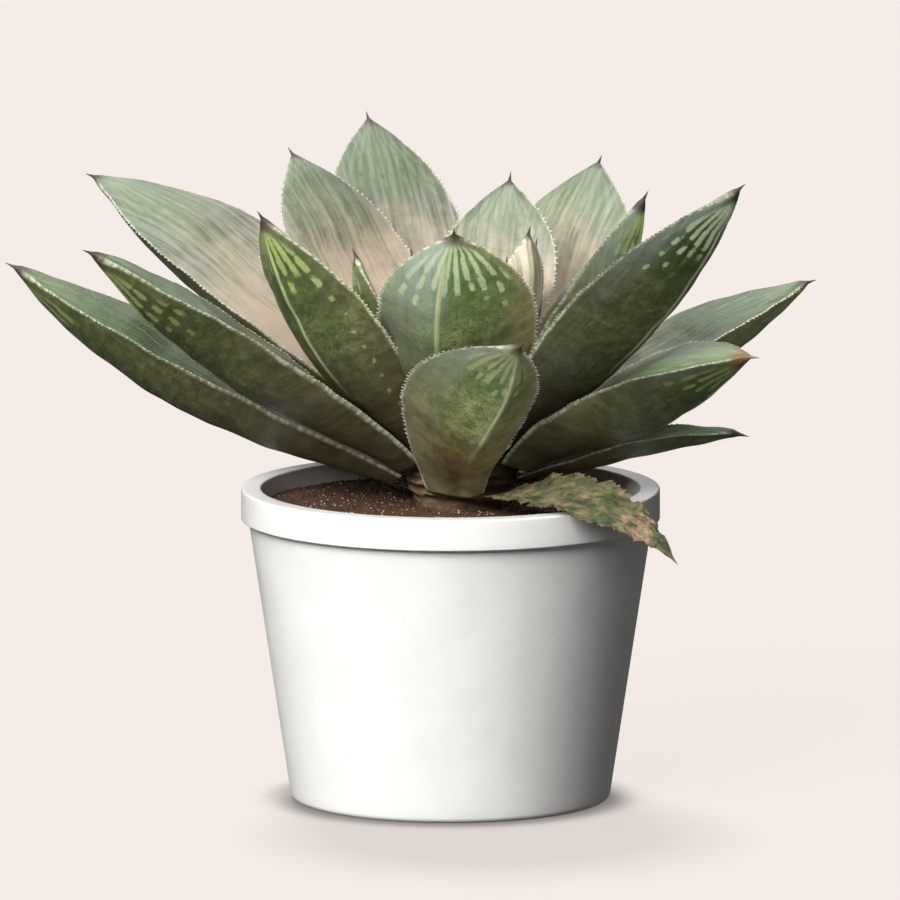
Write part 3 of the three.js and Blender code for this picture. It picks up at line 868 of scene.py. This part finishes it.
def add_teeth(leaf, surface, settings, draws):
    """Fine curved teeth along both margins, leaning toward the tip."""
    points, faces, values, (shares, along, side, up, margins) = surface
    spacing, longest = settings.tooth_spacing / MM, settings.tooth_length / MM
    new_points, new_shares, new_across = [], [], []
    first = len(points)
    made = len(TOOTH_RINGS) * TOOTH_SIDES + 2
    tooth_faces = tube_faces(len(TOOTH_RINGS), TOOTH_SIDES, made - 1, made - 2)
    angles = 2 * math.pi * np.arange(TOOTH_SIDES) / TOOTH_SIDES
    for sign, margin in zip((-1.0, 1.0), margins):
        place = TEETH_FROM * leaf.length
        while place < TEETH_TO * leaf.length:
            share = place / leaf.length
            station = int(np.clip(np.searchsorted(shares, share) - 1, 0, len(shares) - 2))
            part = (share - shares[station]) / (shares[station + 1] - shares[station])
            root = mix(margin[station], margin[station + 1], part)
            taper = float(smoothstep(0.08, 0.3, share) * (1 - 0.45 * smoothstep(0.8, 1.0, share)))
            size = longest * taper * draws.uniform(0.55, 1.0)
            out = side[station] * sign
            lean = draws.uniform(0.35, 0.75)
            lift = up[station] * draws.uniform(-0.15, 0.25)
            oval = np.outer(np.cos(angles), along[station]) + np.outer(np.sin(angles), up[station] * 0.6)
            broad = 0.3 * size + 0.09
            for length, width in TOOTH_RINGS:
                bow = lean * max(length, 0) ** 1.5
                centre = root + size * (out * length + along[station] * bow + lift * max(length, 0))
                new_points += list(centre + oval * broad * width)
            new_points.append(root + size * (out + along[station] * lean + lift))
            new_points.append(root - out * TOOTH_ROOT * size)
            faces += [tuple(first + corner for corner in face) for face in tooth_faces]
            new_shares += [share] * made
            new_across += [sign] * made
            first += made
            place += spacing * draws.uniform(0.72, 1.28)
    new_shares, new_across = np.array(new_shares), np.array(new_across)
    extra = {name: np.full(len(new_points), number) for name, number in TOOTH_VALUES.items()}
    extra |= {"along": new_shares, "run": new_shares * leaf.length}
    extra |= {"across": new_across, "span": new_across * TOOTH_SPAN}
    values = {name: np.append(values[name], extra[name]) for name in values}
    return np.vstack([points, new_points]), faces, values


WINDOW_ROWS = 4.8  # rows of windows from the middle to a margin
WINDOW_STEP = 3.9  # millimetres from one window to the next along a row
SHAPE_VALUES = ("along", "across", "upper", "run", "span", "edge", "ridge", "half")
FACE_PATCH = (0.16, 0.2, 0.1)
FACE_TIP = (0.11, 0.18, 0.07)
# Painted shade on the lower left of waxed undersides.
PAINTED_SHADE_ON_WAX = (0.06, 0.08, 0.058)
YOUNG_SKIN = (0.66, 0.54, 0.45)
KEEL_LINE = (0.4, 0.43, 0.24)
YELLOW_WINDOW = (0.36, 0.44, 0.12)
HORNY_BEAD = (0.6, 0.61, 0.48)
TOOTH = (0.52, 0.53, 0.42)
DRIED_TIP = (0.17, 0.1, 0.04)


def leaf_patterns(tree):
    """What the leaves' finish is mixed from: the values at each point and the noise over them."""
    names = (*SHAPE_VALUES, *LOOK_COLUMNS, "seed")
    at = SimpleNamespace(**{name: attribute(tree, name) for name in names})
    layer = at.seed * 3.7 + at.upper * 40.0
    skin = vector(at.span, at.run, layer)
    at.stripes = noise(vector(at.span, at.run * 0.07, layer), 0.85, 3.0, 0.55)
    at.mottles = noise(skin, 0.42, 4.0, 0.6)
    at.flecks = noise(skin, 2.3, 3.0, 0.7)
    at.grit = noise(skin, 5.5, 1.0)
    at.patches = noise(skin, 0.11, 2.0)
    at.depths = noise(skin, 0.16, 3.0, 0.6)
    at.beads = noise(vector(at.run, at.seed, at.across), 1.1, 1.0)
    at.base_from = at.along + (at.patches + at.mottles - 1.0) * -0.25
    tip = ramp(at.along, 0.6, 0.84) * at.windows
    at.tip_zone = tip * ramp(at.edge, 0.6, 2.4, 0.45, 1.0)
    return at


def window_mask(at):
    """Windows in rows that fan out from the tip: lines, then drops, then dots."""
    row = at.across * WINDOW_ROWS + at.mottles * 0.35 + at.seed * 1.31
    number = math.floor(row)
    lot = random_of(number + at.seed * 7.3)
    cell = at.run * (1 / WINDOW_STEP) + lot * 5.0 + at.mottles * 0.9
    cell_lot = random_of(number * 11.7 + math.floor(cell))
    aside = fraction(row) - 0.5 + (cell_lot - 0.5) * 0.2
    aside = abs(aside * (at.half * (1 / WINDOW_ROWS)))
    reach = slope(at.along, 0.7, 0.88, 0.0, 0.24) + cell_lot * 0.1
    beyond = calculated("MAXIMUM", abs(fraction(cell) - 0.5) - reach) * WINDOW_STEP
    gap = (aside * aside + beyond * beyond) ** 0.5
    joined = ramp(at.along + lot * 0.1, 0.86, 0.93)
    gap = add_node("Mix", {"Factor": joined, "A": gap, "B": aside}, "Result")
    broad = at.half * (0.125 / WINDOW_ROWS) + cell_lot * 0.14 + at.flecks * 0.3
    broad = broad - slope(at.along, 0.62, 0.8, 0.35, 0.0)
    clear = ramp(broad - gap, -0.2, 0.18)
    clear = clear * ramp(slope(at.along, 0.66, 0.86) - lot, -0.12, 0.02)
    clear = clear * at.windows * ramp(at.edge, 1.0, 2.2)
    return clear * ramp(at.along, 0.99, 0.95) * slope(at.upper, 0.0, 1.0, 0.9, 0.22)


def upper_face(at, settings):
    """The striped upper face with its pinkish base, darkened toward the base by painted shade."""
    striped = capped_sum(ramp(at.stripes, 0.34, 0.66), at.flecks * 0.15)
    pale = slope(at.blush, 0.25, 0.75)
    face = layered(
        blend(pale, settings.low_line, settings.face_line),
        (striped, blend(pale, settings.low_face, settings.face)),
        (ramp(at.patches, 0.45, 0.7) * 0.35, FACE_PATCH),
    )
    pink_from = at.base_from + at.stripes * -0.35 + at.blush * -0.3
    pink = ramp(pink_from, 0.42, -0.02) * slope(at.blush, 0.0, 1.2, 0.45, 1.0)
    # Painted shade: the face darkens toward the base of leaves without blush, deep in the rosette. The
    # face column sets its brightness per leaf, partly its own tone and partly painted light and shade.
    painted_base_shade = ramp(at.along + at.blush * 0.7, 0.05, 0.7, 0.12, 1.0)
    face = dimmed(face, painted_base_shade * at.face)
    return layered(face, (pink, settings.blush), (at.tip_zone * 0.45, FACE_TIP))


def underside(at, settings, wax_and_sheen_share):
    """The flecked olive underside with its tan margins, russet base, wax with a painted sheen, painted
    shade toward the base and under the wax, and a pale keel line.
    """
    flecked = capped_sum(ramp(at.mottles, 0.4, 0.66) * 0.4, ramp(at.flecks, 0.42, 0.64, 0.0, 0.8))
    tanned = ramp(at.edge, 9.0, 1.0) * ramp(at.patches, 0.34, 0.6, 0.55, 1.0)
    tanned = tanned * slope(at.under, 1.0, 1.8, 0.4, 1.0) * ramp(at.across, -0.4, 0.6, 0.7, 1.0)
    keel_line = ramp(at.ridge, 0.72, 0.2) * ramp(at.along, 0.3, 0.52, 0.0, 0.85)
    belly = layered(
        settings.underside,
        (flecked, settings.underside_fleck),
        (ramp(at.depths, 0.44, 0.62, 0.0, 0.6), settings.vein),
        (ramp(at.base_from, 0.7, 0.1) * slope(at.blush, 0.3, 1.0, 0.5, 0.9), settings.russet),
    )
    belly = layered(
        # Painted shade: the underside darkens toward the leaf's base, deep in the rosette.
        dimmed(belly, ramp(at.along, 0.05, 0.68, 0.24, 1.1)),
        (tanned, settings.tan),
        (at.tip_zone * 0.85, settings.vein),
    )
    return layered(
        # The under column sets the underside's brightness per leaf, partly its own tone and partly painted
        # light and shade.
        dimmed(belly, at.under * slope(at.mottles, 0.3, 0.7, 0.72, 1.3)),
        # Painted shade on the lower left of waxed undersides.
        (ramp(at.across, 0.0, -0.7) * ramp(at.along, 0.9, 0.55) * (at.bloom * 0.75), PAINTED_SHADE_ON_WAX),
        (ramp(at.blush, 1.0, 1.2) * ramp(at.stripes, 0.36, 0.62, 0.25, 0.95), YOUNG_SKIN),
        (wax_and_sheen_share, settings.bloom),
        (keel_line * ramp(at.along, 0.97, 0.86), KEEL_LINE),
    )


def leaf_material(settings):
    """Waxy leaf flesh: striped upper face, flecked olive underside, windows, pale margins, dry tip, with
    painted shade toward the leaves' bases and a painted sheen in the wax.
    """
    material, tree = new_material("waxy_leaf")
    at = leaf_patterns(tree)
    # The wax on the underside's left also stands for a painted sheen on the side the key light comes from.
    wax_and_sheen_from = at.across + at.bloom * -0.9 + at.patches * -0.4
    wax_and_sheen_share = ramp(wax_and_sheen_from, -0.95, -1.55) * ramp(at.along, 0.5, 0.92, 0.05, 0.9)
    wax_and_sheen_share = wax_and_sheen_share * ramp(at.bloom, 0.0, 0.3) * ramp(at.stripes, 0.25, 0.6, 0.45, 1.0)
    clear = window_mask(at) * (1.0 - wax_and_sheen_share * 0.65)
    glassy = blend(ramp(at.dryness, 0.25, 0.38, 0.0, 0.8), settings.window, YELLOW_WINDOW)
    edging = ramp(at.edge + at.mottles * 0.5, 0.8, 0.3) * slope(at.upper, 0.0, 1.0, 0.9, 0.6)
    horny = blend(ramp(at.beads, 0.44, 0.56), settings.margin, HORNY_BEAD)
    dry_from = at.along + at.dryness * 0.038 + at.mottles * 0.02
    dried = blend(ramp(at.dryness, 0.9, 0.95), settings.bristle, DRIED_TIP)
    colour = layered(
        underside(at, settings, wax_and_sheen_share),
        (at.upper, upper_face(at, settings)),
        (clear * ramp(at.flecks, 0.25, 0.5, 0.6, 1.0), glassy),
        (edging, horny),
        (ramp(at.edge, -0.3, -0.8, 0.0, 0.8), TOOTH),
        (ramp(dry_from, 0.975, 1.015), dried),
    )
    roughness = at.flecks * 0.22 + 0.33 + clear * -0.08
    normal = bumped((at.stripes, 0.16), (at.mottles, 0.22), (at.flecks, 0.07), (at.grit, 0.02))
    fixed = {
        "Subsurface Weight": 0.12,
        "Subsurface Radius": (0.8, 1.0, 0.4),
        "Subsurface Scale": 0.0025,
        "Specular IOR Level": 0.4,
    }
    finish_material(colour, roughness, normal, fixed)
    return material


class HAWORTHIA_OT_leaves(bpy.types.Operator):
    """Build the living leaves with their fine teeth, bristles and windows"""

    bl_idname = "haworthia.leaves"
    bl_label = "Leaves"

    def execute(self, context):
        settings = context.scene.haworthia_leaf
        material = leaf_material(settings)
        for number, row in enumerate(LEAF_ROWS):
            leaf = leaf_of(row)
            node = "leaf_" + leaf.name
            draws = np.random.default_rng(LEAF_SEED + number)
            points, faces, values = add_teeth(leaf, leaf_surface(leaf, draws), settings, draws)
            values |= {look: np.full(len(points), getattr(leaf, look)) for look in LOOK_COLUMNS}
            values["seed"] = np.full(len(points), number)
            make_piece(node + "_fine", points, faces, material, node, values)
        return {"FINISHED"}


DARK_OLIVE, OLIVE = (0.036, 0.058, 0.018), (0.125, 0.12, 0.046)
REDDISH_SPOT, DARK_SPOT = (0.24, 0.155, 0.085), (0.022, 0.03, 0.012)
# Painted shade in the hollows of the wrinkles.
PAINTED_CREASE_SHADE = (0.04, 0.04, 0.018)
PINK_STAIN = (0.36, 0.22, 0.155)
DRY_RIM = (0.17, 0.115, 0.062)


def old_leaf_material():
    """Wilted leaf: dull olive with reddish brown and pink spots, a dry rim and painted shade in its
    wrinkles.
    """
    material, tree = new_material("wilted_leaf")
    run, span, edge, upper = (attribute(tree, name) for name in ("run", "span", "edge", "upper"))
    skin = vector(span, run, upper * 30.0)
    spots = noise(skin, 0.42, 5.0, 0.7)
    patches = noise(skin, 0.22, 4.0, 0.6)
    wrinkles = noise(vector(span, run * 0.15, upper), 1.3, 4.0, 0.65)
    stains = noise(skin, 0.11, 2.0)
    colour = layered(
        DARK_OLIVE,
        (ramp(patches, 0.42, 0.58), OLIVE),
        (ramp(spots, 0.5, 0.64, 0.0, 0.8), REDDISH_SPOT),
        (ramp(spots, 0.46, 0.34, 0.0, 0.8), DARK_SPOT),
        # Painted shade in the hollows of the wrinkles.
        (ramp(wrinkles, 0.52, 0.36, 0.0, 0.5), PAINTED_CREASE_SHADE),
        (ramp(stains, 0.5, 0.62) * ramp(spots, 0.4, 0.58) * 0.7, PINK_STAIN),
        (ramp(edge, 0.6, 0.1, 0.0, 0.7), DRY_RIM),
    )
    roughness = slope(spots, 0.3, 0.7, 0.55, 0.85)
    normal = bumped((wrinkles, 0.5), (spots, 0.3))
    fixed = {"Subsurface Weight": 0.05, "Subsurface Scale": 0.001}
    finish_material(colour, roughness, normal, fixed)
    return material


class HAWORTHIA_OT_old_leaf(bpy.types.Operator):
    """Build the wilted leaf that hangs over the rim"""

    bl_idname = "haworthia.old_leaf"
    bl_label = "Old leaf"

    def execute(self, context):
        leaf = leaf_of(OLD_LEAF_ROW)
        draws = np.random.default_rng(OLD_LEAF_SEED)
        surface = leaf_surface(leaf, draws, wilted=True)
        points, faces, values = add_teeth(leaf, surface, context.scene.haworthia_leaf, draws)
        make_piece(
            "leaf_old_wilted", points, faces, old_leaf_material(), "leaf_old", values
        )
        return {"FINISHED"}


# ---- Studio ----

# Far soft lights: name, azimuth and elevation in degrees, strength, softness in degrees, colour.
SUNS = (
    ("key_light", 237, 35, 5.15, 38, (1.0, 0.99, 0.97)),
    ("top_light", 250, 80, 1.4, 60, (0.97, 0.99, 1.0)),
    ("back_light", 90, 45, 1.4, 60, (1.0, 1.0, 1.0)),
)
LEAF_FILL = ("leaf_fill", 292, 22, 1.25, 60, (1.0, 1.0, 0.98))
FLOOR_LIGHT = ("floor_light", 101, 52, 17.0, 20, (1.0, 0.99, 0.98))
FLOOR_OWN_LIGHT = 0.74  # the share of the floor's brightness that is its own
WORLD_LIGHT, WORLD_COLOUR = 0.08, (1.0, 0.985, 0.96, 1.0)
CONTACT_REACH = 0.009  # how near a thing has to be for the floor's painted contact shadow, in metres
STUDIO_SIDES = 96
FLOOR_RADIUS = 6.0
BACKDROP_CORNERS = ((0, -1.0, 0), (7.0, -1.0, 0.5), (7.0, 9.0, 2.0), (0, 9.0, 0))
LENS, SENSOR = 1000, 36  # in millimetres
LOOK_AT = (-0.0001, 0.0011, 0.067)


def studio_material(name, colour, own_light, daylight):
    """A plain backdrop, part of whose brightness is its own glow, so that shadows stay soft and light. The
    glow is dimmed near things as a painted contact shadow.
    """
    material, tree = new_material(name)
    own = tuple(channel * own_light for channel in colour)
    lit = tuple(channel * (1 - own_light) / daylight for channel in colour)
    touching = add_node("AmbientOcclusion", {"Distance": CONTACT_REACH}, "AO", tree, samples=8)
    # Painted contact shadow: the floor's own glow dims where things stand close.
    shown = ramp(touching, 0.45, 0.95, 0.35, 1.0)
    glow = add_node("Emission", {"Color": (*own, 1.0), "Strength": shown})
    diffuse = add_node("BsdfDiffuse", {"Color": (*lit, 1.0)}, tree=tree)
    set_surface(add_node("AddShader", {0: diffuse, 1: glow}))
    return material


def stage_object(name, points, faces, material):
    """A stage piece, in metres, that the plant's surfaces don't see."""
    made = mesh_object(name, points, faces, material)
    for ray in ("diffuse", "glossy", "transmission", "shadow"):
        setattr(made, "visible_" + ray, False)
    made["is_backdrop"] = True
    return made


def add_sun(name, azimuth, elevation, strength, softness, colour):
    """A far soft light. azimuth 0 is the right, 90 the back and 270 the front, in degrees."""
    light = bpy.data.lights.new(name, "SUN")
    light.energy = strength
    light.angle = math.radians(softness)
    light.color = colour
    made = placed(name, light)
    made.rotation_euler = (math.radians(90 - elevation), 0, math.radians(azimuth + 90))
    return made


def daylight_on_floor():
    """What a level white surface out of any shadow gives back of the world's and the suns' light."""
    light = WORLD_LIGHT
    for _, _, elevation, strength, _, _ in (*SUNS, FLOOR_LIGHT):
        light += strength * math.sin(math.radians(elevation)) / math.pi
    return light


def gathered(name, members):
    """A collection of objects that a light is limited to."""
    made = bpy.data.collections.new(name)
    for member in members:
        made.objects.link(member)
    return made


class HAWORTHIA_OT_studio(bpy.types.Operator):
    """Set up the plain floor, the soft light and the camera"""

    bl_idname = "haworthia.studio"
    bl_label = "Studio"

    def execute(self, context):
        settings = context.scene.haworthia_studio
        scene = context.scene
        scene.view_settings.view_transform = "Standard"
        world = bpy.data.worlds.new("studio")
        world.use_nodes = True
        background = world.node_tree.nodes["Background"]
        background.inputs["Color"].default_value = WORLD_COLOUR
        background.inputs["Strength"].default_value = WORLD_LIGHT
        scene.world = world

        paper, daylight = tuple(settings.floor), daylight_on_floor()
        floor_paper = studio_material("floor_paper", paper, FLOOR_OWN_LIGHT, daylight)
        wall_paper = studio_material("backdrop_paper", paper, 1.0, daylight)
        angles = 2 * math.pi * np.arange(STUDIO_SIDES) / STUDIO_SIDES
        rim = np.stack([np.cos(angles), np.sin(angles), np.zeros(STUDIO_SIDES)], axis=-1)
        floor = stage_object("floor", FLOOR_RADIUS * rim, [tuple(range(STUDIO_SIDES))], floor_paper)
        points, faces = turned(filleted(BACKDROP_CORNERS), STUDIO_SIDES)
        stage_object("backdrop", points, [face[::-1] for face in faces], wall_paper)

        for sun in SUNS:
            add_sun(*sun)
        leaves = [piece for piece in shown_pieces() if piece.name.startswith("leaf_")]
        pot = [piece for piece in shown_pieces() if piece.name.startswith("pot_")]
        add_sun(*LEAF_FILL).light_linking.receiver_collection = gathered("leaves_only", leaves)
        floor_light = add_sun(*FLOOR_LIGHT).light_linking
        floor_light.receiver_collection = gathered("floor_only", [floor])
        floor_light.blocker_collection = gathered("pot_only", pot)

        lens = bpy.data.cameras.new("photo_camera")
        lens.lens = LENS
        lens.sensor_width = SENSOR
        lens.clip_start = 0.05
        lens.clip_end = 50
        camera = placed("photo_camera", lens)
        elevation = settings.elevation
        toward = np.array((0.0, -math.cos(elevation), math.sin(elevation)))
        camera.location = np.array(LOOK_AT) + settings.distance * toward
        camera.rotation_euler = (math.pi / 2 - elevation, 0, 0)
        scene.camera = camera
        return {"FINISHED"}


# ---- Panel and registration ----

OPERATORS = (
    HAWORTHIA_OT_pot, HAWORTHIA_OT_soil, HAWORTHIA_OT_stem, HAWORTHIA_OT_leaves, HAWORTHIA_OT_old_leaf,
    HAWORTHIA_OT_studio,
)
SETTINGS = {
    "haworthia_pot": HaworthiaPotSettings,
    "haworthia_soil": HaworthiaSoilSettings,
    "haworthia_stem": HaworthiaStemSettings,
    "haworthia_leaf": HaworthiaLeafSettings,
    "haworthia_studio": HaworthiaStudioSettings,
}


class HAWORTHIA_PT_panel(bpy.types.Panel):
    """Lists the plant's pieces and their settings"""

    bl_label = "Potted haworthia"
    bl_space_type = "VIEW_3D"
    bl_region_type = "UI"
    bl_category = "Plant"

    def draw(self, context):
        for operator in OPERATORS:
            self.layout.operator(operator.bl_idname)
        for name, group in SETTINGS.items():
            box = self.layout.box()
            for setting in group.__annotations__:
                box.prop(getattr(context.scene, name), setting)


def register():
    for group in SETTINGS.values():
        bpy.utils.register_class(group)
    for shown in (*OPERATORS, HAWORTHIA_PT_panel):
        bpy.utils.register_class(shown)
    for name, group in SETTINGS.items():
        setattr(bpy.types.Scene, name, PointerProperty(type=group))


def unregister():
    for name in SETTINGS:
        delattr(bpy.types.Scene, name)
    for shown in (HAWORTHIA_PT_panel, *reversed(OPERATORS), *reversed(SETTINGS.values())):
        bpy.utils.unregister_class(shown)


def main():
    register()
    bpy.ops.haworthia.pot()
    bpy.ops.haworthia.soil()
    bpy.ops.haworthia.stem()
    bpy.ops.haworthia.leaves()
    bpy.ops.haworthia.old_leaf()
    bpy.ops.haworthia.studio()


if __name__ == "__main__":
    main()
